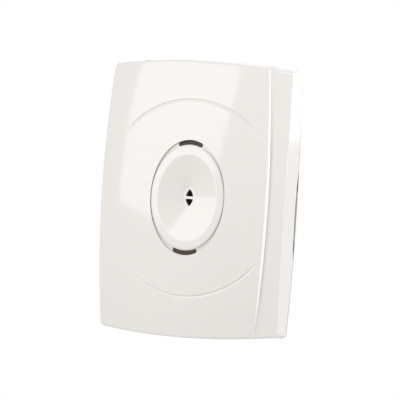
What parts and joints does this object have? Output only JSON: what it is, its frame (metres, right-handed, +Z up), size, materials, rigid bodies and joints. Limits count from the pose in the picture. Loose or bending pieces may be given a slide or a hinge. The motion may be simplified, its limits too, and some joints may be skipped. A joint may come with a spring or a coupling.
{
  "type": "glass break sensor",
  "caption": "Wall-mounted acoustic glass break sensor with a domed white cover, an oval microphone dish between two small light windows, and the circuit inside.",
  "frame": {"origin": "middle of the back plate, on the face that lies against the wall", "axes": "+Z up on the wall, +Y into the wall, the front faces -Y, +X to the right seen from the front"},
  "size_m": [0.062, 0.0225, 0.09],
  "materials": {
    "cover_plastic": "glossy moulded, warm white",
    "plate_plastic": "satin moulded, warm white",
    "smoked_plastic": "dark smoked, polished",
    "board_laminate": "green solder mask",
    "screw_steel": "zinc plated",
    "tinned_metal": "tinned",
    "capsule_metal": "drawn can",
    "black_rubber": "moulded",
    "red_lens": "clear coloured resin",
    "green_lens": "clear coloured resin",
    "spacer_plastic": "natural",
    "terminal_plastic": "moulded green",
    "relay_plastic": "sealed case",
    "package_plastic": "moulded black",
    "capacitor_sleeve": "shrunk sleeve",
    "trimmer_plastic": "moulded blue",
    "rotor_plastic": "moulded white",
    "switch_plastic": "moulded red",
    "tamper_plastic": "moulded black",
    "plunger_plastic": "moulded light grey",
    "suppressor_coat": "dipped epoxy",
    "chip_ceramic": "fired"
  },
  "bodies": {
    "base": {"back_plate": "plate_plastic", "board_screws": "screw_steel", "circuit_board": "board_laminate", "microphone_capsule": "capsule_metal", "microphone_boot": "black_rubber", "microphone_leads": "tinned_metal", "upper_lamp": "red_lens", "lower_lamp": "green_lens", "upper_lamp_spacer": "spacer_plastic", "lower_lamp_spacer": "spacer_plastic", "lamp_leads": "tinned_metal", "terminal_block": "terminal_plastic", "terminal_clamps": "tinned_metal", "terminal_screws": "screw_steel", "alarm_relay": "relay_plastic", "processor": "package_plastic", "amplifier": "package_plastic", "capacitor_1": "capacitor_sleeve", "capacitor_2": "capacitor_sleeve", "capacitor_3": "capacitor_sleeve", "trimmer_body": "trimmer_plastic", "dip_switch_body": "switch_plastic", "tamper_switch": "tamper_plastic", "jumper_base": "tamper_plastic", "jumper_pins": "tinned_metal", "jumper_shunt": "tamper_plastic", "crystal": "tinned_metal", "voltage_regulator": "package_plastic", "surge_suppressor": "suppressor_coat", "protection_diodes": "package_plastic", "chip_resistors": "chip_ceramic", "chip_capacitors": "chip_ceramic"},
    "cover": {"front_cover": "cover_plastic", "microphone_dish": "cover_plastic", "upper_window": "smoked_plastic", "lower_window": "smoked_plastic"},
    "plunger": {"tamper_plunger": "plunger_plastic"},
    "rotor": {"trimmer_rotor": "rotor_plastic"},
    "lever_1": {"dip_lever_1": "rotor_plastic"},
    "lever_2": {"dip_lever_2": "rotor_plastic"},
    "lever_3": {"dip_lever_3": "rotor_plastic"},
    "lever_4": {"dip_lever_4": "rotor_plastic"}
  },
  "joints": [
    {"name": "cover_hinge", "type": "hinge", "parent": "base", "child": "cover", "pos_m": [0, -0.0029, 0.0427], "axis": [-1, 0, 0], "range_deg": [0, 75]},
    {"name": "tamper_slide", "type": "slide", "parent": "base", "child": "plunger", "axis": [0, -1, 0], "range_m": [0, 0.001]},
    {"name": "trimmer_turn", "type": "hinge", "parent": "base", "child": "rotor", "pos_m": [-0.0145, -0.0108, 0.0248], "axis": [0, -1, 0], "range_deg": [-130, 130]},
    {"name": "lever_slide_1", "type": "slide", "parent": "base", "child": "lever_1", "axis": [0, 0, 1], "range_m": [0, 0.0018]},
    {"name": "lever_slide_2", "type": "slide", "parent": "base", "child": "lever_2", "axis": [0, 0, 1], "range_m": [0, 0.0018]},
    {"name": "lever_slide_3", "type": "slide", "parent": "base", "child": "lever_3", "axis": [0, 0, 1], "range_m": [0, 0.0018]},
    {"name": "lever_slide_4", "type": "slide", "parent": "base", "child": "lever_4", "axis": [0, 0, 1], "range_m": [0, 0.0018]}
  ],
  "couplings": [
    {"joint": "tamper_slide", "follows": "cover_hinge", "m_per_rad": 0.00075}
  ]
}
